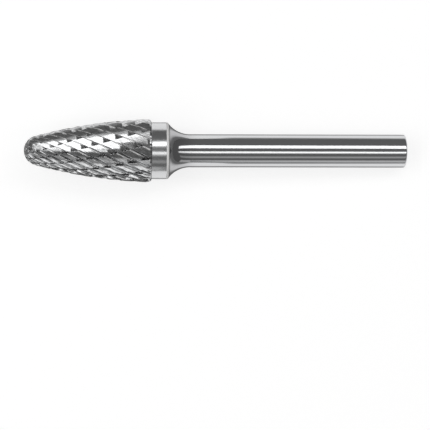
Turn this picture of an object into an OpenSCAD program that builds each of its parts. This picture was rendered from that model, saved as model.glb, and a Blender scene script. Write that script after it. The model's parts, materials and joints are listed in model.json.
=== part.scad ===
// Rotary burr with a double-cut, tree-shaped carbide head brazed to a steel shank.
// It lies on a level surface as it comes to rest: on two neighbouring teeth of the
// rim and on the shank's end. The tip points along -X and the shank along +X.

/* [Overall] */
// Length from the tip to the end of the shank
total_len = 70; // [60:1:120]
// Diameter of the shank, a standard collet size
shank_d = 6; // [5:0.5:7]

/* [Head] */
// Length of the toothed head
head_len = 23.1; // [18:0.1:28]
// Diameter over the teeth at the back edge of the head
head_d = 11.54; // [11.2:0.02:13]
// Radius of the ball nose
nose_r = 2.75; // [2:0.05:3.5]
// Radius of the long curve between the nose and the back edge
flank_r = 88; // [70:1:150]
// Bevel across the back ends of the teeth
rim_bevel = 0.35; // [0.1:0.05:0.5]

/* [Teeth] */
// Number of main flutes, which run along a right-hand helix
main_flutes = 19; // [14:1:24]
// Helix angle of the main flutes, in degrees from the axis
main_helix = 27; // [20:1:35]
// Depth of a main flute at the back edge of the head
main_depth = 0.46; // [0.4:0.02:0.6]
// Width of the narrow land on a tooth's edge at the back of the head
land_w = 0.2; // [0.05:0.01:0.25]
// Number of crossing flutes, which run along a left-hand helix
cross_flutes = 13; // [10:1:18]
// Helix angle of the crossing flutes, in degrees from the axis
cross_helix = 15.4; // [10:0.2:25]
// Depth of a crossing flute at the back edge of the head
cross_depth = 0.3; // [0.2:0.02:0.36]
// Turn of the crossing flutes about the axis, in degrees
cross_turn = -65; // [-90:0.5:90]

/* [Collar and joint] */
// Length of the smooth collar behind the teeth
collar_len = 2.7; // [1:0.1:5]
// Diameter of the smooth collar
collar_d = 10.3; // [9.5:0.1:10.3]
// Width of the braze seam between the collar and the shank
seam_w = 0.44; // [0.2:0.02:0.8]
// Diameter of the shank's flare where it meets the seam
flare_d = 9.88; // [8:0.02:10.1]
// Radius of the hollow curve from the flare to the shank
flare_r = 5; // [4:0.1:7]

/* [Shank end] */
// Rounding of the edge at the shank's end
end_round = 0.36; // [0.2:0.02:0.8]
// Height of the slight dome on the shank's end
end_dome = 0.32; // [0.1:0.02:0.4]

/* [Hidden] */

// Facets of the turned surfaces, and of the finer curves in their sections
$fn = 96;
hollow_facets = 256;
edge_facets = 64;
dome_facets = 512;
// Steps of the flank and of the nose in the profile table
profile_steps = 60;
// Half angle of the tip cap, seen from the centre of the nose ball
tip_angle = 24;
// Overlap that joins the collar to the back of the toothed solid
weld = 0.1;

head_r = head_d / 2;
shank_r = shank_d / 2;
seam_start = head_len + collar_len;
flare_start = seam_start + seam_w;
rim_start = head_len - rim_bevel;

// The flank's centre, from which the nose ball is touched from inside and the back edge is met
nose_gap = norm([head_len - nose_r, head_r]);
nose_way = [head_len - nose_r, head_r] / nose_gap;
centre_along = ((flank_r - nose_r) ^ 2 - flank_r ^ 2 + nose_gap ^ 2) / (2 * nose_gap);
centre_across = sqrt((flank_r - nose_r) ^ 2 - centre_along ^ 2);
flank_c = [nose_r, 0]
    + centre_along * nose_way
    + centre_across * [nose_way.y, -nose_way.x];
join_angle = atan2(-flank_c.y, nose_r - flank_c.x);
rim_angle = acos((rim_start - flank_c.x) / flank_r);

// Points of the profile over the teeth, as [place along the axis, radius]
ball_points = [
    for (i = [0 : profile_steps])
        let (a = tip_angle + (180 - join_angle - tip_angle) * i / profile_steps)
        [nose_r - nose_r * cos(a), nose_r * sin(a)]
];
flank_points = [
    for (i = [1 : profile_steps])
        let (a = join_angle + (rim_angle - join_angle) * i / profile_steps)
        flank_c + flank_r * [cos(a), sin(a)]
];
profile = concat(ball_points, flank_points);

// Turn, in degrees, that a helix at 45 degrees makes between two profile points
function turn_between(p, q) = norm(q - p) * 2 / (p.y + q.y) * 180 / PI;
turns = [
    for (i = 0, t = 0;
         i < len(profile);
         t = t + (i + 1 < len(profile) ? turn_between(profile[i], profile[i + 1]) : 0), i = i + 1)
        t
];
last_turn = turns[len(turns) - 1];
place_table = [for (i = [0 : len(profile) - 1]) [turns[i] - last_turn, profile[i].x]];
radius_table = [for (i = [0 : len(profile) - 1]) [turns[i] - last_turn, profile[i].y]];
rim_r = profile[len(profile) - 1].y;

main_pitch = 360 / main_flutes;
cross_pitch = 360 / cross_flutes;
main_rate = tan(main_helix);
cross_rate = tan(cross_helix);

// A chord between two points given by angle and radius, as the radius at angle a
function chord(a, a0, r0, a1, r1) =
    r0 * r1 * sin(a1 - a0) / (r0 * sin(a - a0) + r1 * sin(a1 - a));

// Where the tooth form changes across a main flute, as shares of its pitch
land_u = land_w / (2 * PI * rim_r / main_flutes);
gullet_u = 0.9;
foot_u = land_u + (gullet_u - land_u) * cross_depth / main_depth;
rake_u = gullet_u + (1 - gullet_u) * (1 - cross_depth / main_depth);
u_marks = [0, land_u, foot_u, gullet_u, rake_u];
// Half the angle between the lands of two neighbouring teeth, which lie level at the bottom of the rim
rest_half = main_pitch * (1 - land_u) / 2;
main_turn = 180 + rest_half;
// Where the form changes across a crossing flute, as shares of its pitch
plain_v = 0.56;
bed_v = 0.94;
v_marks = [0, plain_v / 2, plain_v, bed_v];

main_floor = 1 - main_depth / rim_r;
cross_floor = 1 - cross_depth / rim_r;

// Radius of the main flute's section, where 1 is the profile over the teeth
function main_form(u) =
    u <= land_u ? 1
    : u <= gullet_u
        ? chord(u * main_pitch, land_u * main_pitch, 1, gullet_u * main_pitch, main_floor)
        : chord(u * main_pitch, gullet_u * main_pitch, main_floor, main_pitch, 1);

// Radius of the crossing flute's section
function cross_form(v) =
    v <= plain_v ? 1
    : v <= bed_v
        ? chord(v * cross_pitch, plain_v * cross_pitch, 1, bed_v * cross_pitch, cross_floor)
        : chord(v * cross_pitch, bed_v * cross_pitch, cross_floor, cross_pitch, 1);

columns = main_flutes * len(u_marks);
function share(x) = x - floor(x);
function column_u(a) = floor(a / len(u_marks)) + u_marks[a % len(u_marks)];
function row_v(b) = floor(b / len(v_marks)) + v_marks[b - len(v_marks) * floor(b / len(v_marks))];
function row_below(v) =
    len(v_marks) * floor(v) + len([for (m = v_marks) if (m <= share(v)) m]) - 1;

// Angle about the axis of column a at a turn, and the crossing flute met there
function column_angle(a, turn) = main_turn + main_pitch * column_u(a) + main_rate * turn;
function cross_at(a, turn) =
    (column_angle(a, turn) - cross_turn + cross_rate * turn) / cross_pitch;
function turn_at(a, b) =
    (cross_turn + cross_pitch * row_v(b) - main_turn - main_pitch * column_u(a))
    / (main_rate + cross_rate);

// A point at a place along the axis, a radius and an angle from the top
function spun(place, radius, angle) = [place, -radius * sin(angle), radius * cos(angle)];

function tooth_radius(a, turn) =
    lookup(turn, radius_table)
    * min(main_form(share(column_u(a))), cross_form(share(cross_at(a, turn))));
function tooth_point(a, turn) =
    spun(lookup(turn, place_table), tooth_radius(a, turn), column_angle(a, turn));

// First and last row of each column, on the tip ring and on the rim
first_rows = [for (a = [0 : columns - 1]) row_below(cross_at(a, -last_turn))];
last_rows = [for (a = [0 : columns - 1]) row_below(cross_at(a, 0)) + 1];
column_sizes = [for (a = [0 : columns - 1]) last_rows[a] - first_rows[a] + 1];
column_starts = [
    for (a = 0, n = 0; a < columns; n = n + column_sizes[a], a = a + 1) n
];
tooth_count = column_starts[columns - 1] + column_sizes[columns - 1];
tooth_points = [
    for (a = [0 : columns - 1])
        for (b = [first_rows[a] : last_rows[a]])
            tooth_point(a, min(max(turn_at(a, b), -last_turn), 0))
];
rim_points = [
    for (a = [0 : columns - 1])
        spun(head_len, min(tooth_radius(a, 0), rim_r - rim_bevel), column_angle(a, 0))
];

// Index of the point in column a and row b, where the last column meets the first again
function tooth_index(a, b) =
    a == columns
        ? tooth_index(0, b - len(v_marks) * cross_flutes)
        : column_starts[a] + min(max(b, first_rows[a]), last_rows[a]) - first_rows[a];
function rim_index(a) = tooth_count + a % columns;
back_index = tooth_count + columns;
tip_index = back_index + 1;
// A row number past both ends of every column
far_row = 10 * len(v_marks) * cross_flutes;

// Each cell is split along the line on which the two flutes meet
function split_forward(a, b) =
    let (wall = (b - len(v_marks) * floor(b / len(v_marks))) == len(v_marks) - 1)
    a % len(u_marks) < 3 ? !wall : wall;
function cell(p, q, r, s, forward) =
    forward ? [[p, r, q], [p, s, r]] : [[p, s, q], [q, s, r]];
function real_faces(faces) =
    [for (f = faces) if (f[0] != f[1] && f[1] != f[2] && f[2] != f[0]) f];

tooth_faces = [
    for (a = [0 : columns - 1])
        for (b = [first_rows[a] : last_rows[a] + len(v_marks)])
            each real_faces(cell(
                tooth_index(a, b),
                tooth_index(a + 1, b),
                tooth_index(a + 1, b + 1),
                tooth_index(a, b + 1),
                split_forward(a, b)
            ))
];
end_faces = [
    for (a = [0 : columns - 1])
        let (
            back = tooth_index(a, far_row),
            next = tooth_index(a + 1, far_row)
        )
        each [
            [back, rim_index(a), next],
            [next, rim_index(a), rim_index(a + 1)],
            [rim_index(a), back_index, rim_index(a + 1)],
            [tip_index, tooth_index(a, -far_row), tooth_index(a + 1, -far_row)]
        ]
];

// Lean of the axis when the rim and the shank's end touch the surface
rest_drop = rim_r * cos(rest_half) - (shank_r - end_round);
rest_run = total_len - end_dome - end_round - rim_start;
lean = atan2(rest_drop, rest_run) - asin(end_round / norm([rest_run, rest_drop]));
tip_height = rim_start * sin(lean) + rim_r * cos(rest_half) * cos(lean);

// Moves a piece from its place on the axis to the resting place, centred over the origin
module lie() {
    translate([-total_len * cos(lean) / 2, 0, tip_height])
        rotate([0, lean, 0])
            children();
}

// Turns a profile, drawn as radius and place, about the burr's own axis
module turn_profile() {
    rotate([0, 90, 0])
        rotate_extrude()
            children();
}

module carbide_head() {
    color("#b4b6b8")
        lie()
            union() {
                polyhedron(
                    points = concat(tooth_points, rim_points, [[head_len, 0, 0], [0, 0, 0]]),
                    faces = concat(tooth_faces, end_faces)
                );
                translate([head_len - weld, 0, 0])
                    rotate([0, 90, 0])
                        cylinder(h = collar_len + weld, d = collar_d);
            }
}

module braze_seam() {
    color("#f0efe9")
        lie()
            translate([seam_start, 0, 0])
                rotate([0, 90, 0])
                    cylinder(h = seam_w, d1 = collar_d, d2 = flare_d);
}

// Half section of the flare, whose hollow curve runs into the straight shank
module flare_section() {
    curve_len = sqrt(flare_r ^ 2 - (flare_r + shank_r - flare_d / 2) ^ 2);
    difference() {
        translate([0, flare_start])
            square([flare_d / 2, curve_len]);
        translate([shank_r + flare_r, flare_start + curve_len])
            circle(flare_r, $fn = hollow_facets);
    }
}

// Half section of the shank's end, with a rounded edge around a slight dome
module end_section() {
    edge = shank_r - end_round;
    dome_r = (edge ^ 2 + end_dome ^ 2) / (2 * end_dome);
    translate([edge, total_len - end_dome - end_round])
        circle(end_round, $fn = edge_facets);
    intersection() {
        translate([0, total_len - end_dome - end_round])
            square([edge, end_dome + end_round]);
        translate([0, total_len - dome_r])
            circle(dome_r, $fn = dome_facets);
    }
}

module steel_shank() {
    color("#c9cbcd")
        lie()
            turn_profile()
                union() {
                    flare_section();
                    translate([0, flare_start])
                        square([shank_r, total_len - end_dome - end_round - flare_start]);
                    end_section();
                }
}

carbide_head();
braze_seam();
steel_shank();
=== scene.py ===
import json
import math

import bpy
import numpy as np
from mathutils import Matrix, Vector


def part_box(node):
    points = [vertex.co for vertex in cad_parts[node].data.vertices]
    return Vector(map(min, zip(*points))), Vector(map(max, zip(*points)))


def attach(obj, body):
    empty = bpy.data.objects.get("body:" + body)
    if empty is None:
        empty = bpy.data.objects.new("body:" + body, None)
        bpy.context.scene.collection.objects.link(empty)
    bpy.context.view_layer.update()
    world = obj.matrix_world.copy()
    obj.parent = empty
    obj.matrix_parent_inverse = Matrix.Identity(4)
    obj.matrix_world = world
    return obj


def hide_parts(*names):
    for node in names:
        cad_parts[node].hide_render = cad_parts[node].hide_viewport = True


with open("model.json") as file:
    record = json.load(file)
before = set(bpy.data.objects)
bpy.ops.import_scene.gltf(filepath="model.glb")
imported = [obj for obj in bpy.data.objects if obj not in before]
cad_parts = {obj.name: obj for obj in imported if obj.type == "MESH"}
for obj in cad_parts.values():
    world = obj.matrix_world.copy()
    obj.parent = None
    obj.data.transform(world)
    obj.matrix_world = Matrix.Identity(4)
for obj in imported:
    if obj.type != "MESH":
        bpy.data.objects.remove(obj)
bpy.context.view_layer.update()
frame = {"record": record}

mm = 0.001
slack = 1e-6  # when places in m, or shares of a pitch, are compared
countSlack = 1e-9  # when whole flutes are counted

# The burr's own axis runs from the tip to the shank's end, along the shank's mount
shankMount = frame["record"]["mounts"][0]
burrAxis = Vector(shankMount["axis"]).normalized()
mountPoint = Vector(shankMount["pos_m"])
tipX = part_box("carbide_head")[0][0]
tipPoint = mountPoint + burrAxis * ((tipX - mountPoint.x) / burrAxis.x)
lean = math.atan2(-burrAxis.z, burrAxis.x)  # radians, down towards the shank
burrPlace = Matrix.Translation(tipPoint) @ Matrix.Rotation(lean, 4, "Y")


def deselectAll():
    if bpy.context.mode != "OBJECT":
        bpy.ops.object.mode_set(mode="OBJECT")
    bpy.ops.object.select_all(action="DESELECT")


def selectOnly(piece):
    deselectAll()
    piece.select_set(True)
    bpy.context.view_layer.objects.active = piece


def placeOnBurr(piece):
    # The piece is modelled along +X from the tip, then its place goes into its mesh
    piece.matrix_world = burrPlace
    selectOnly(piece)
    bpy.ops.object.transform_apply(location=True, rotation=True, scale=True)


# Sizes of every piece are in mm, measured from the tip along the burr's axis
head = {
    "length": 23.1,
    "rimDiameter": 11.54,
    "noseRadius": 2.75,
    "flankRadius": 88.0,
    "rimBevel": 0.35,
    "tipAngle": 10.0,  # degrees, half angle of the round tip seen from the nose ball's centre
    "tipRings": (0.8, 0.6, 0.4, 0.2),
    "tipSink": 0.9,  # the round tip's radius, as a share of the nose ball's there
    "smoothAngle": 12,
}

teeth = {
    "mainFlutes": 19,
    "mainHelix": 27.0,  # degrees, right-hand
    "mainDepth": 0.46,
    "landWidth": 0.2,
    "gullet": 0.9,  # share of the pitch at which the main flute is deepest
    "mainHollow": -0.11,  # of the depth; below 0 the relief is rounded, not hollow
    "crossFlutes": 13,
    "crossHelix": 15.4,  # degrees, left-hand
    "crossDepth": 0.3,
    "crossTurn": -65.0,  # degrees
    "plain": 0.56,  # share of the crossing pitch that stays uncut
    "bed": 0.94,  # share of the crossing pitch at which the notch is deepest
    "crossHollow": -0.1,
    "notchFall": 3.0,  # a bump adds this many times its depth to how a notch shades
    "paintedShadeLead": 0.01,  # the painted shade along a flute's bottom, in shares of the pitch
    "paintedShadeWidth": 0.06,
    "rimShade": 0.85,  # how dark the painted shade on the bevel at the rim is
    "weldDistance": 2e-8,  # m
}

# How finely the profile is worked out, and the mesh divides each part of a flute
toothSteps = {
    "profile": 400,
    "search": 2000,
    "meeting": 6,
    "lowerRelief": 4,
    "rake": 4,
    "plain": 6,
    "wall": 3,
}

rimStart = head["length"] - head["rimBevel"]
rimRadius = head["rimDiameter"] / 2
mainPitch = 360 / teeth["mainFlutes"]
crossPitch = 360 / teeth["crossFlutes"]


# Profile over the teeth: a nose ball and one long flank curve that touches it and meets the rim
def flankCentre():
    nose, flank = head["noseRadius"], head["flankRadius"]
    gap = math.hypot(head["length"] - nose, rimRadius)
    way = ((head["length"] - nose) / gap, rimRadius / gap)
    along = ((flank - nose) ** 2 - flank ** 2 + gap ** 2) / (2 * gap)
    across = math.sqrt((flank - nose) ** 2 - along ** 2)
    return (nose + along * way[0] + across * way[1], along * way[1] - across * way[0])


def headProfile():
    nose, flank = head["noseRadius"], head["flankRadius"]
    steps = toothSteps["profile"]
    centreX, centreR = flankCentre()
    joinAngle = math.atan2(-centreR, nose - centreX)
    rimAngle = math.acos((rimStart - centreX) / flank)
    ball = np.linspace(math.radians(head["tipAngle"]), math.pi - joinAngle, steps)
    curve = np.linspace(joinAngle, rimAngle, steps)[1:]
    places = np.concatenate([nose - nose * np.cos(ball), centreX + flank * np.cos(curve)])
    radii = np.concatenate([nose * np.sin(ball), centreR + flank * np.sin(curve)])
    # Turn of a 45 degree helix along the profile, counted back from the rim
    pace = np.hypot(np.diff(places), np.diff(radii)) * 2 / (radii[1:] + radii[:-1])
    turns = np.concatenate([[0.0], np.cumsum(np.degrees(pace))])
    return turns - turns[-1], places, radii


headTable = headProfile()
toothRadius = headTable[2][-1]  # over the teeth, where the rim's bevel begins
land = teeth["landWidth"] / (2 * math.pi * toothRadius / teeth["mainFlutes"])


def chord(angle, startAngle, startRadius, endAngle, endRadius):
    # Radius, at an angle, of the straight line between two points around the axis
    a, a0, a1 = (np.radians(x) for x in (angle, startAngle, endAngle))
    across = startRadius * np.sin(a - a0) + endRadius * np.sin(a1 - a)
    return startRadius * endRadius * np.sin(a1 - a0) / across


def fluteForm(share, pitch, start, lowest, depth, hollow):
    # Radius of a flute's section, where 1 is the profile over the teeth
    floor = 1 - depth
    along = np.clip((share - start) / (lowest - start), 0, 1)
    angle = start * pitch + along * (lowest - start) * pitch
    relief = chord(angle, start * pitch, 1, lowest * pitch, floor)
    relief = relief - hollow * depth * 4 * along * (1 - along)  # most of it halfway
    back = np.clip(share, lowest, 1)
    face = chord(back * pitch, lowest * pitch, floor, pitch, 1)
    return np.where(share <= start, 1.0, np.where(share <= lowest, relief, face))


def mainForm(share):
    depth = teeth["mainDepth"] / toothRadius
    return fluteForm(share, mainPitch, land, teeth["gullet"], depth, teeth["mainHollow"])


def crossForm(share):
    depth = teeth["crossDepth"] / toothRadius
    return fluteForm(share, crossPitch, teeth["plain"], teeth["bed"], depth, teeth["crossHollow"])


def shareOf(count):
    # How far past the last whole flute, as a share of the pitch
    return count - np.floor(count + countSlack)


def meetingMarks():
    # Places across both flutes at which they are equally deep, so that edges lie where they meet
    fine = np.linspace(land, teeth["gullet"], toothSteps["search"])
    crossMarks = np.linspace(teeth["plain"], teeth["bed"], toothSteps["meeting"] + 1)
    mainMarks = np.interp(-crossForm(crossMarks), -mainForm(fine), fine)
    return mainMarks, crossMarks


def fluteMarks():
    # Where the mesh has its lines, in shares of the main and of the crossing pitch
    gullet, plain, bed = teeth["gullet"], teeth["plain"], teeth["bed"]
    mainMarks, crossMarks = meetingMarks()
    lowerRelief = np.linspace(mainMarks[-1], gullet, toothSteps["lowerRelief"] + 1)[1:]
    rakeFace = np.linspace(gullet, 1, toothSteps["rake"] + 1)[1:-1]
    plainRows = np.linspace(0, plain, toothSteps["plain"] + 1)[:-1]
    wallRows = np.linspace(bed, 1, toothSteps["wall"] + 1)[1:-1]
    return (np.concatenate([[0], mainMarks, lowerRelief, rakeFace]),
            np.concatenate([plainRows, crossMarks, wallRows]))


markNames = ("crossCut", "notchDepth", "paintedShade", "edge", "onTeeth")


def keepMarks(mesh, marks, mainCount, crossCount):
    # The piece keeps its flute coordinates and these marks for its material
    for name, values in marks.items():
        attribute = mesh.attributes.new(name, "FLOAT", "POINT")
        attribute.data.foreach_set("value", values.astype(np.float32))
    corners = np.empty(len(mesh.loops), dtype=np.int32)
    mesh.loops.foreach_get("vertex_index", corners)
    flutes = np.stack([mainCount[corners], crossCount[corners]], axis=1)
    mesh.uv_layers.active.data.foreach_set("uv", flutes.ravel())


def addToothedHead():
    turns, places, radii = headTable
    mainRate = math.tan(math.radians(teeth["mainHelix"]))
    crossRate = math.tan(math.radians(teeth["crossHelix"]))
    mainTurn = 180 + mainPitch * (1 - land) / 2  # two lands lie level at the bottom
    crossTurn = teeth["crossTurn"]

    # A flat grid, 1 across, is added, and each of its points goes to its place on the two
    # sets of flutes. Columns count main flutes (u) and rows count crossing flutes (v)
    uMarks, vMarks = fluteMarks()
    lowV = math.floor((mainTurn + (mainRate + crossRate) * turns[0] - crossTurn) / crossPitch)
    highV = math.ceil((mainTurn + 360 - crossTurn) / crossPitch)
    uRows = [i + uMarks for i in range(teeth["mainFlutes"])]
    vRows = [j + vMarks for j in range(lowV, highV)]
    uLines = np.concatenate(uRows + [[teeth["mainFlutes"]]])
    vLines = np.concatenate(vRows + [[highV]])
    deselectAll()
    bpy.ops.mesh.primitive_grid_add(
        x_subdivisions=len(uLines) - 1, y_subdivisions=len(vLines) - 1, size=1)
    piece = bpy.context.object
    mesh = piece.data
    flat = np.empty(len(mesh.vertices) * 3)
    mesh.vertices.foreach_get("co", flat)
    flat = flat.reshape(-1, 3)
    u = uLines[np.rint((flat[:, 0] + 0.5) * (len(uLines) - 1)).astype(int)]
    v = vLines[np.rint((flat[:, 1] + 0.5) * (len(vLines) - 1)).astype(int)]
    turn = (crossTurn + crossPitch * v - mainTurn - mainPitch * u) / (mainRate + crossRate)
    turn = np.clip(turn, turns[0], 0)
    angle = mainTurn + mainPitch * u + mainRate * turn
    crossing = (angle - crossTurn + crossRate * turn) / crossPitch
    share = shareOf(u)
    mainCut = mainForm(share)
    crossCut = crossForm(shareOf(crossing))
    outside = np.interp(turn, turns, radii)
    radius = outside * np.minimum(mainCut, crossCut)
    x = np.interp(turn, turns, places)
    sides = [x, -radius * np.sin(np.radians(angle)), radius * np.cos(np.radians(angle))]
    mesh.vertices.foreach_set("co", (np.stack(sides, axis=1) * mm).ravel())

    inNotch = np.maximum(mainCut - crossCut, 0)
    fromBottom = np.abs(share - teeth["gullet"] + teeth["paintedShadeLead"])
    marks = {
        "crossCut": np.where(inNotch > slack, 1.0, 0.0),
        "notchDepth": -teeth["notchFall"] * inNotch * outside * mm,
        # painted shade along each flute's bottom
        "paintedShade": np.clip(1 - fromBottom / teeth["paintedShadeWidth"], 0, 1),
        # the lands, which get a painted highlight and a duller finish
        "edge": np.where(share < land + slack, 1.0, 0.0),
        "onTeeth": np.ones(len(u)),
    }
    keepMarks(mesh, marks, u, crossing)
    bpy.ops.object.mode_set(mode="EDIT")
    bpy.ops.mesh.select_all(action="SELECT")
    bpy.ops.mesh.remove_doubles(threshold=teeth["weldDistance"])
    bpy.ops.object.mode_set(mode="OBJECT")
    return piece


collar = {
    "length": 2.7,
    "diameter": 10.3,
    "rootFillet": 0.12,
    "filletSteps": 4,
    "edge": 0.03,
}

seamStart = head["length"] + collar["length"]


def selectRing(piece, isWanted):
    # Of the mesh's open edges, selects the ring of points that is wanted
    bpy.ops.object.mode_set(mode="EDIT")
    bpy.ops.mesh.select_mode(type="VERT")
    bpy.ops.mesh.select_all(action="DESELECT")
    bpy.ops.mesh.select_non_manifold()
    bpy.ops.object.mode_set(mode="OBJECT")
    mesh = piece.data
    for point in mesh.vertices:
        point.select = point.select and isWanted(point.co)
    for edge in mesh.edges:
        edge.select = all(mesh.vertices[i].select for i in edge.vertices)
    bpy.ops.object.mode_set(mode="EDIT")


def extrudeRing(piece, move):
    # Extrudes the selected ring and gives each new point its place
    bpy.ops.mesh.extrude_region_move()
    bpy.ops.object.mode_set(mode="OBJECT")
    for point in piece.data.vertices:
        if point.select:
            point.co = move(point.co)
    bpy.ops.object.mode_set(mode="EDIT")


def atRadius(point, place, radius):
    way = math.hypot(point.y, point.z)
    return Vector((place * mm, point.y / way * radius * mm, point.z / way * radius * mm))


def radiusOf(point):
    return math.hypot(point.y, point.z) / mm


def finishHeadBack(piece):
    # Bevelled tooth ends, flat back face, smooth collar with a small root fillet
    bevelled = toothRadius - head["rimBevel"]
    collarRadius = collar["diameter"] / 2
    fillet = collar["rootFillet"]
    rings = [(head["length"], collarRadius + fillet)]
    for step in range(1, collar["filletSteps"] + 1):
        a = math.radians(90 * step / collar["filletSteps"])
        rings.append((head["length"] + fillet * (1 - math.cos(a)),
                      collarRadius + fillet * (1 - math.sin(a))))
    rings.append((seamStart - collar["edge"], collarRadius))
    rings.append((seamStart, collarRadius - collar["edge"]))

    selectRing(piece, lambda p: p.x > rimStart * mm - slack)
    extrudeRing(piece, lambda p: atRadius(p, head["length"], min(radiusOf(p), bevelled)))
    for place, radius in rings:
        extrudeRing(piece, lambda p: atRadius(p, place, radius))
    bpy.ops.mesh.edge_face_add()
    bpy.ops.object.mode_set(mode="OBJECT")

    # The marks of the flutes end at the rim, whose bevel gets painted shade
    bevelInside = collarRadius + fillet + slack / mm
    for name in markNames:
        for point, mark in zip(piece.data.vertices, piece.data.attributes[name].data):
            if point.co.x > rimStart * mm + slack:
                onBevel = name == "paintedShade" and radiusOf(point.co) > bevelInside
                mark.value = teeth["rimShade"] if onBevel else 0


def finishHeadTip(piece):
    # The flutes run out into a small round tip
    places, radii = headTable[1:]
    nose, sink = head["noseRadius"], head["tipSink"]
    edge = places[0] * mm + slack
    selectRing(piece, lambda p: p.x < edge)
    for ring, share in enumerate(head["tipRings"]):
        a = math.radians(head["tipAngle"] * share)
        place = nose - nose * math.cos(a)
        if ring == 0:
            shrink = nose * math.sin(a) / radii[0] * sink
            extrudeRing(piece, lambda p: atRadius(p, place, radiusOf(p) * shrink))
        else:
            extrudeRing(piece, lambda p: atRadius(p, place, nose * math.sin(a) * sink))
    bpy.ops.mesh.edge_face_add()
    bpy.ops.mesh.select_all(action="SELECT")
    bpy.ops.mesh.normals_make_consistent(inside=False)
    bpy.ops.object.mode_set(mode="OBJECT")


def addLathed(name, profile, segments):
    # Turns a profile, given as place and radius, by extruding a ring along the burr's axis
    deselectAll()
    place, radius = profile[0]
    bpy.ops.mesh.primitive_circle_add(
        vertices=segments, radius=radius * mm, fill_type="NOTHING", rotation=(0, math.pi / 2, 0))
    piece = bpy.context.object
    piece.name = name
    bpy.ops.object.transform_apply(location=True, rotation=True, scale=True)
    bpy.ops.object.mode_set(mode="EDIT")
    bpy.ops.mesh.select_mode(type="VERT")
    bpy.ops.mesh.select_all(action="SELECT")
    bpy.ops.transform.translate(value=(place * mm, 0, 0))
    for nextPlace, nextRadius in profile[1:]:
        step = (nextPlace - place) * mm
        bpy.ops.mesh.extrude_region_move(TRANSFORM_OT_translate={"value": (step, 0, 0)})
        grow = nextRadius / radius
        bpy.ops.transform.resize(value=(1, grow, grow), center_override=(nextPlace * mm, 0, 0))
        place, radius = nextPlace, nextRadius
    # Both open ends are closed
    bpy.ops.mesh.edge_face_add()
    bpy.ops.mesh.select_all(action="DESELECT")
    bpy.ops.mesh.select_non_manifold()
    bpy.ops.mesh.edge_face_add()
    bpy.ops.mesh.select_all(action="SELECT")
    bpy.ops.mesh.normals_make_consistent(inside=False)
    bpy.ops.object.mode_set(mode="OBJECT")
    return piece


seam = {
    "width": 0.44,
    "flareDiameter": 9.88,
    "bulge": 0.08,
    "bulgeLean": 0.7,  # how far the bulge leans towards the shank
    "steps": 8,
    "segments": 256,
    "smoothAngle": 30,
}

flareStart = seamStart + seam["width"]


def seamProfile():
    startRadius = collar["diameter"] / 2 - collar["edge"]
    endRadius = seam["flareDiameter"] / 2
    points = []
    for step in range(seam["steps"] + 1):
        t = step / seam["steps"]
        swell = seam["bulge"] * math.sin(math.pi * t)
        points.append((seamStart + seam["width"] * t + swell * seam["bulgeLean"],
                       startRadius + (endRadius - startRadius) * t + swell))
    return points


shank = {
    "length": 70.0,  # of the whole burr
    "diameter": 6.0,
    "flareRadius": 5.0,
    "endRound": 0.36,
    "endDome": 0.32,
    "flareSteps": 40,
    "straightSteps": 8,
    "roundSteps": 12,
    "domeRings": (0.85, 0.7, 0.5, 0.3, 0.15, 0.05),
    "segments": 192,
    "smoothAngle": 30,
}


def shankProfile():
    radius = shank["diameter"] / 2
    flare = shank["flareRadius"]
    startGap = flare + radius - seam["flareDiameter"] / 2
    curveLength = math.sqrt(flare ** 2 - startGap ** 2)
    startAngle = math.asin(curveLength / flare)
    points = []
    for step in range(shank["flareSteps"] + 1):
        a = startAngle * (1 - step / shank["flareSteps"])
        points.append((flareStart + curveLength - flare * math.sin(a),
                       radius + flare - flare * math.cos(a)))
    flareEnd = points[-1][0]
    edge = radius - shank["endRound"]
    domeStart = shank["length"] - shank["endDome"]
    roundStart = domeStart - shank["endRound"]
    for step in range(1, shank["straightSteps"]):
        points.append((flareEnd + (roundStart - flareEnd) * step / shank["straightSteps"], radius))
    for step in range(shank["roundSteps"] + 1):
        a = math.radians(90 * step / shank["roundSteps"])
        points.append((roundStart + shank["endRound"] * math.sin(a),
                       edge + shank["endRound"] * math.cos(a)))
    domeRadius = (edge ** 2 + shank["endDome"] ** 2) / (2 * shank["endDome"])
    for share in shank["domeRings"]:
        out = edge * share
        rise = math.sqrt(domeRadius ** 2 - out ** 2) - (domeRadius - shank["endDome"])
        points.append((domeStart + rise, out))
    return points


def newMaterial(name, colour, roughness, metallic=1.0):
    material = bpy.data.materials.new(name)
    material.use_nodes = True
    shader = material.node_tree.nodes["Principled BSDF"]
    shader.inputs["Base Color"].default_value = (*colour, 1)
    shader.inputs["Metallic"].default_value = metallic
    shader.inputs["Roughness"].default_value = roughness
    return material, shader


def feed(material, socket, value):
    # A socket takes the output of another node, or a fixed value
    if isinstance(value, bpy.types.NodeSocket):
        material.node_tree.links.new(value, socket)
    else:
        socket.default_value = value


def addNode(material, kind, **values):
    # Each value goes into the node's input of that name, or else it is one of its settings
    node = material.node_tree.nodes.new(kind)
    for key, value in values.items():
        if key in node.inputs:
            feed(material, node.inputs[key], value)
        else:
            setattr(node, key, value)
    return node


def addMath(material, operation, *values):
    node = addNode(material, "ShaderNodeMath", operation=operation)
    for socket, value in zip(node.inputs, values):
        feed(material, socket, value)
    return node.outputs["Value"]


def addMix(material, factor, start, end, dataType="RGBA"):
    node = addNode(material, "ShaderNodeMix", data_type=dataType, Factor=factor, A=start, B=end)
    return node.outputs["Result"]


def addRamp(material, value, edges=(0, 1), ends=(0, 1), kind="SMOOTHSTEP"):
    node = addNode(material, "ShaderNodeMapRange", interpolation_type=kind, Value=value)
    for name, number in zip(("From Min", "From Max", "To Min", "To Max"), (*edges, *ends)):
        node.inputs[name].default_value = number
    return node.outputs["Result"]


def addNoise(material, vector, **values):
    node = addNode(material, "ShaderNodeTexNoise", Scale=1.0, Vector=vector, **values)
    return node.outputs["Fac"]


def addBump(material, height, distance, normal=None):
    node = addNode(material, "ShaderNodeBump", Height=height, Distance=distance)
    if normal:
        feed(material, node.inputs["Normal"], normal)
    return node.outputs["Normal"]


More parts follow.
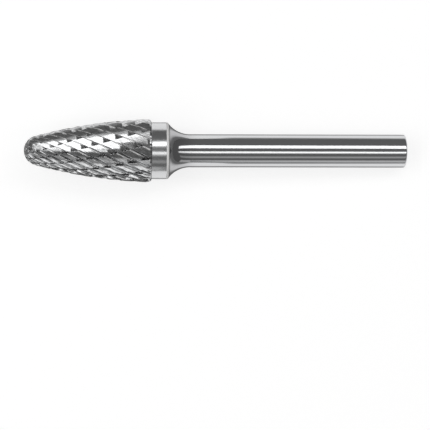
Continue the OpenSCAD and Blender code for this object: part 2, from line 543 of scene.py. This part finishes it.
def burrCoordinates(material, scale):
    # Object coordinates turned onto the burr's axis, in mm, then stretched by scale
    coordinates = addNode(material, "ShaderNodeTexCoord")
    place = addNode(material, "ShaderNodeMapping", vector_type="TEXTURE", Location=tipPoint,
                    Rotation=(0, lean, 0), Scale=(mm, mm, mm), Vector=coordinates.outputs["Object"])
    stretch = addNode(material, "ShaderNodeMapping", Scale=scale, Vector=place.outputs["Vector"])
    return stretch.outputs["Vector"]


def burrNoise(material, scale, detail):
    return addNoise(material, burrCoordinates(material, scale), Detail=detail)


# Patterns on the burr's axis have their scales per mm
steelFinish = {
    "colour": (0.66, 0.665, 0.675),
    "roughness": 0.1,
    "flareDarkColour": (0.46, 0.46, 0.47),  # darker steel on the flare, beside the braze
    "flareDarkEnds": (27.5, 32.0),  # mm from the tip
    "brazeShadowColour": (0.2, 0.2, 0.2),  # a painted shadow along the braze
    "brazeShadowEnds": (0.1, 0.24),  # mm behind the braze
    "waveScale": (0.12, 0.35, 0.35),
    "waveDetail": 1.0,
    "waveHeight": 0.006 * mm,
    "grindScale": (14.0, 0.4, 0.4),
    "grindDetail": 2.0,
    "grindHeight": 0.0002 * mm,
}


def makeSteel():
    finish = steelFinish
    material, shader = newMaterial("polishedSteel", finish["colour"], finish["roughness"])
    waves = burrNoise(material, finish["waveScale"], finish["waveDetail"])
    grinding = burrNoise(material, finish["grindScale"], finish["grindDetail"])
    waveNormal = addBump(material, waves, finish["waveHeight"])
    grindNormal = addBump(material, grinding, finish["grindHeight"], waveNormal)
    feed(material, shader.inputs["Normal"], grindNormal)

    # The steel is darker on the flare towards the braze, and a painted shadow runs along the braze
    place = addNode(material, "ShaderNodeSeparateXYZ",
                    Vector=burrCoordinates(material, (1.0, 1.0, 1.0)))
    along = place.outputs["X"]
    flareDark = addRamp(material, along, finish["flareDarkEnds"])
    line = addRamp(material, along, [flareStart + width for width in finish["brazeShadowEnds"]])
    darkenedFlare = addMix(material, flareDark, (*finish["flareDarkColour"], 1), (*finish["colour"], 1))
    colour = addMix(material, line, (*finish["brazeShadowColour"], 1), darkenedFlare)
    feed(material, shader.inputs["Base Color"], colour)
    return material


brazeFinish = {
    "colour": (0.99, 0.985, 0.975),
    "metallic": 0.0,
    "roughness": 0.3,
    "rippleScale": (4.0, 2.0, 2.0),
    "rippleDetail": 3.0,
    "rippleHeight": 0.004 * mm,
}


def makeBraze():
    finish = brazeFinish
    material, shader = newMaterial(
        "silverBraze", finish["colour"], finish["roughness"], finish["metallic"])
    ripples = burrNoise(material, finish["rippleScale"], finish["rippleDetail"])
    normal = addBump(material, ripples, finish["rippleHeight"])
    feed(material, shader.inputs["Normal"], normal)
    return material


# Patterns on the teeth have their scales per pitch of the main and of the crossing flutes
carbideFinish = {
    "colour": (0.66, 0.665, 0.67),
    # the colour of the painted shade in the flutes' bottoms, in the notches and on the rim's bevel;
    # notchShade is how much of it the notches get
    "paintedShadeColour": (0.13, 0.13, 0.135),
    "notchShade": 0.1,
    "toothRoughness": 0.13,
    "collarRoughness": 0.2,
    # the lands get a lighter colour, a painted highlight, and a duller finish
    "edgeHighlightColour": (0.8, 0.8, 0.8),
    "edgeRoughness": 0.4,
    "mainGrindScale": (16.0, 0.6, 1.0),
    "crossGrindScale": (0.6, 18.0, 1.0),
    "toothGrindDetail": 3.0,
    "toothGrindHeight": 0.002 * mm,
    "collarGrindScale": (12.0, 0.5, 0.5),
    "collarGrindDetail": 2.0,
    "collarGrindHeight": 0.0003 * mm,
    "mottleScale": (14.0, 4.0, 1.0),
    "mottleDetail": 3.0,
    "mottleGrain": 0.6,
    "mottleNoise": (0.32, 0.68),  # the noise from here to there
    "mottleColour": (0.45, 1.3),  # times the colour by this
}


def makeCarbide():
    finish = carbideFinish
    material, shader = newMaterial("groundCarbide", finish["colour"], finish["toothRoughness"])
    marks = {}
    for name in markNames:
        marks[name] = addNode(material, "ShaderNodeAttribute", attribute_name=name).outputs["Fac"]
    flutes = addNode(material, "ShaderNodeUVMap").outputs["UV"]

    def fluteNoise(scale, detail, **values):
        mapping = addNode(material, "ShaderNodeMapping", Scale=scale, Vector=flutes)
        return addNoise(material, mapping.outputs["Vector"], Detail=detail, **values)

    # Grinding marks run along whichever flute cut the surface, and around the collar
    mainGrind = fluteNoise(finish["mainGrindScale"], finish["toothGrindDetail"])
    crossGrind = fluteNoise(finish["crossGrindScale"], finish["toothGrindDetail"])
    collarGrind = burrNoise(material, finish["collarGrindScale"], finish["collarGrindDetail"])
    toothGrind = addMix(material, marks["crossCut"], mainGrind, crossGrind, "FLOAT")
    grinding = addMix(material, marks["onTeeth"], collarGrind, toothGrind, "FLOAT")
    heights = (finish["collarGrindHeight"], finish["toothGrindHeight"])
    grindHeight = addRamp(material, marks["onTeeth"], ends=heights, kind="LINEAR")
    notchNormal = addBump(material, marks["notchDepth"], 1.0)
    grindNormal = addBump(material, grinding, grindHeight, notchNormal)
    feed(material, shader.inputs["Normal"], grindNormal)

    # Painted shade darkens the bottoms of the flutes and the notches; the cutting edges get a
    # painted highlight, a lighter colour, and a duller finish
    notchShade = addMath(material, "MULTIPLY", marks["crossCut"], finish["notchShade"])
    shade = addMath(material, "MAXIMUM", notchShade, marks["paintedShade"])
    colour = addMix(material, shade, (*finish["colour"], 1), (*finish["paintedShadeColour"], 1))
    colour = addMix(material, marks["edge"], colour, (*finish["edgeHighlightColour"], 1))
    roughnesses = (finish["collarRoughness"], finish["toothRoughness"])
    roughness = addRamp(material, marks["onTeeth"], ends=roughnesses, kind="LINEAR")
    roughness = addMix(material, marks["edge"], roughness, finish["edgeRoughness"], "FLOAT")
    feed(material, shader.inputs["Roughness"], roughness)

    # The ground facets are a little mottled
    patches = fluteNoise(
        finish["mottleScale"], finish["mottleDetail"], Roughness=finish["mottleGrain"])
    mottle = addRamp(material, patches, finish["mottleNoise"], finish["mottleColour"], "LINEAR")
    mottle = addMix(material, marks["onTeeth"], 1.0, mottle, "FLOAT")
    mottled = addNode(material, "ShaderNodeVectorMath", operation="SCALE",
                      Vector=colour, Scale=mottle)
    feed(material, shader.inputs["Base Color"], mottled.outputs["Vector"])
    return material


def dress(piece, material, node, smoothAngle):
    # Gives the piece its finish, puts it in its place and ties it to the solid it stands for
    piece.data.materials.clear()
    piece.data.materials.append(material)
    selectOnly(piece)
    bpy.ops.object.shade_smooth_by_angle(angle=math.radians(smoothAngle))
    placeOnBurr(piece)
    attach(piece, "root")
    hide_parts(node)


view = {
    "imageSize": 430,
    "pixelsPerMm": 5.481,
    "distance": 350 * mm,  # above the burr's middle
    "sensor": 36.0,
    "clipStart": 0.01,
    "axisRow": 150.85,  # image row of the burr's axis
    "tipColumn": 24.6,  # image columns of the burr's two ends
    "endColumn": 408.3,
}


def addCamera():
    scale = mm / view["pixelsPerMm"]
    middle = view["imageSize"] / 2
    burrColumn = (view["tipColumn"] + view["endColumn"]) / 2
    axisMiddle = tipPoint + burrAxis * (shank["length"] * mm / 2)
    x = axisMiddle.x - (burrColumn - middle) * scale
    y = axisMiddle.y + (view["axisRow"] - middle) * scale
    bpy.ops.object.camera_add(location=(x, y, axisMiddle.z + view["distance"]), rotation=(0, 0, 0))
    camera = bpy.context.object
    camera.name = "photoCamera"
    camera.data.sensor_width = view["sensor"]
    camera.data.lens = view["sensor"] * view["distance"] / (view["imageSize"] * scale)
    camera.data.clip_start = view["clipStart"]
    bpy.context.scene.camera = camera


# Lengths in the studio are in m, and radiances are shares of white
studio = {"lampHeight": 0.6, "cardDistance": 0.6, "room": 0.14}

# Each lamp's edges are angles from the vertical: across the burr, plus towards the
# image's top, and along it
lamps = {
    "upperStrip": {"across": (17.0, 35.5), "along": (-3.0, 58.0), "radiance": 2.0},
    "lowerStrip": {"across": (-15.0, -6.5), "along": (-3.0, 58.0), "radiance": 1.5},
    "lowerFringe": {"across": (-20.0, -15.0), "along": (-3.0, 58.0), "radiance": 0.7},
    "weakStrip": {"across": (-54.0, -41.0), "along": (1.0, 58.0), "radiance": 0.25},
    "greyPanel": {"across": (-10.0, 45.0), "along": (-16.5, -3.0), "radiance": 0.45},
    "backPanel": {"across": (-3.0, 33.0), "along": (-20.0, -16.5), "radiance": 0.6},
    "leftPanel": {"across": (-3.0, 33.0), "along": (-31.8, -20.0), "radiance": 2.0},
    "leftPanelLow": {"across": (-29.0, -3.0), "along": (-31.8, -24.0), "radiance": 2.0},
    "leftPanelFar": {"across": (-43.0, 24.0), "along": (-43.0, -31.8), "radiance": 2.0},
    "leftFringe": {"across": (33.0, 46.0), "along": (-31.8, -16.5), "radiance": 0.45},
    "farFringe": {"across": (24.0, 42.0), "along": (-43.0, -31.8), "radiance": 0.35},
    "nosePanel": {"across": (-45.0, 35.0), "along": (-60.0, -43.0), "radiance": 0.4},
}

# Low cards stand on the side of the image's bottom
cards = {
    "lowCardLeft": {"across": (-0.25, -0.03), "up": (0.004, 0.24), "radiance": 0.5},
    "lowCardRight": {"across": (0.034, 0.5), "up": (0.004, 0.2), "radiance": 0.4},
    "lowCardFar": {"across": (-0.9, -0.25), "up": (0.004, 0.24), "radiance": 0.25},
}


def addPanel(name, location, rotation, width, height, radiance):
    bpy.ops.object.light_add(type="AREA", location=location, rotation=rotation)
    light = bpy.context.object
    light.name = name
    light.data.shape = "RECTANGLE"
    light.data.size = width
    light.data.size_y = height
    light.data.energy = radiance * math.pi * width * height  # W, for that radiance all over


def addLamp(name, lamp):
    height = studio["lampHeight"]
    low, high = (height * math.tan(math.radians(a)) for a in lamp["across"])
    left, right = (height * math.tan(math.radians(a)) for a in lamp["along"])
    place = ((left + right) / 2, (low + high) / 2, height)
    addPanel(name, place, (0, 0, 0), right - left, high - low, lamp["radiance"])


def addCard(name, card):
    left, right = card["across"]
    low, high = card["up"]
    place = ((left + right) / 2, -studio["cardDistance"], (low + high) / 2)
    addPanel(name, place, (math.pi / 2, 0, 0), right - left, high - low, card["radiance"])


# The floor is white to the camera; the glow the metal mirrors is a painted reflection, brightest
# close by
floorFinish = {
    "size": 30.0,
    "colour": (0.4, 0.4, 0.4),
    "roughness": 0.9,
    "glow": 0.76,
    "fade": (0.016, 0.04),  # in the metal the glow fades with distance
    "bandMiddle": -0.005,  # except in a band beside the collar
    "bandEdge": (0.007, 0.011),
    "lowerFade": (0.03, 0.12),  # and beside the head's lower side, where it fades later
    "lowerGain": 1.3,
    "lowerEnd": (-0.016, -0.011),
    "lowerEdge": (-0.003, 0.003),
    "paintedContactShadow": (0.0064, 0.0096),  # a painted contact shadow makes it darker this close to the burr's axis
    "contactSlant": 0.06,
    "endClear": (0.034, 0.036),  # but not beyond the shank's end
}


def addFloor():
    finish = floorFinish
    deselectAll()
    bpy.ops.mesh.primitive_plane_add(size=finish["size"])
    floor = bpy.context.object
    floor.name = "studioFloor"
    material, shader = newMaterial("paleFloor", finish["colour"], finish["roughness"], 0.0)
    shader.inputs["Specular IOR Level"].default_value = 0.0

    # Where the glow shows in the metal, as a painted reflection
    coordinates = addNode(material, "ShaderNodeTexCoord")
    sides = addNode(material, "ShaderNodeSeparateXYZ", Vector=coordinates.outputs["Object"])
    x, y = sides.outputs["X"], sides.outputs["Y"]
    path = addNode(material, "ShaderNodeLightPath")
    length = path.outputs["Ray Length"]
    near = addRamp(material, length, finish["fade"], (1, 0))
    fromBand = addMath(material, "ABSOLUTE", addMath(material, "SUBTRACT", x, finish["bandMiddle"]))
    band = addRamp(material, fromBand, finish["bandEdge"], (1, 0))
    lowerSide = addMath(material, "MULTIPLY",
                        addRamp(material, x, finish["lowerEnd"], (1, 0)),
                        addRamp(material, y, finish["lowerEdge"], (1, 0)))
    later = addRamp(material, length, finish["lowerFade"], (finish["lowerGain"], 0))
    later = addMath(material, "MULTIPLY", later, lowerSide)
    lit = addMath(material, "MAXIMUM", addMath(material, "MAXIMUM", near, band), later)

    # A painted contact shadow in the glow, close to the burr
    slant = addMath(material, "MULTIPLY", x, finish["contactSlant"])
    beside = addMath(material, "ADD", addMath(material, "ABSOLUTE", y), slant)
    clear = addMath(material, "MAXIMUM",
                    addRamp(material, beside, finish["paintedContactShadow"]),
                    addRamp(material, x, finish["endClear"]))
    lit = addMath(material, "MULTIPLY", lit, clear)
    seen = addMath(material, "MULTIPLY", path.outputs["Is Glossy Ray"], lit)
    for ray in ("Is Camera Ray", "Is Transmission Ray"):
        seen = addMath(material, "MAXIMUM", seen, path.outputs[ray])
    glow = addMath(material, "MULTIPLY", seen, finish["glow"])
    shader.inputs["Emission Color"].default_value = (1, 1, 1, 1)
    feed(material, shader.inputs["Emission Strength"], glow)
    floor.data.materials.append(material)


def setRoom():
    world = bpy.data.worlds.new("studioRoom")
    world.use_nodes = True
    background = world.node_tree.nodes["Background"]
    background.inputs["Color"].default_value = (1, 1, 1, 1)
    background.inputs["Strength"].default_value = studio["room"]
    bpy.context.scene.world = world


print("camera and studio")
addCamera()
addFloor()
for name, lamp in lamps.items():
    addLamp(name, lamp)
for name, card in cards.items():
    addCard(name, card)
setRoom()

print("toothed head and collar")
headPiece = addToothedHead()
headPiece.name = "fluted_head"
finishHeadBack(headPiece)
finishHeadTip(headPiece)
dress(headPiece, makeCarbide(), "carbide_head", head["smoothAngle"])
print("head triangles", sum(len(f.vertices) - 2 for f in headPiece.data.polygons))

print("braze seam")
seamPiece = addLathed("braze_bead", seamProfile(), seam["segments"])
dress(seamPiece, makeBraze(), "braze_seam", seam["smoothAngle"])

print("shank")
shankPiece = addLathed("ground_shank", shankProfile(), shank["segments"])
dress(shankPiece, makeSteel(), "steel_shank", shank["smoothAngle"])

bpy.context.scene.view_settings.view_transform = "Standard"
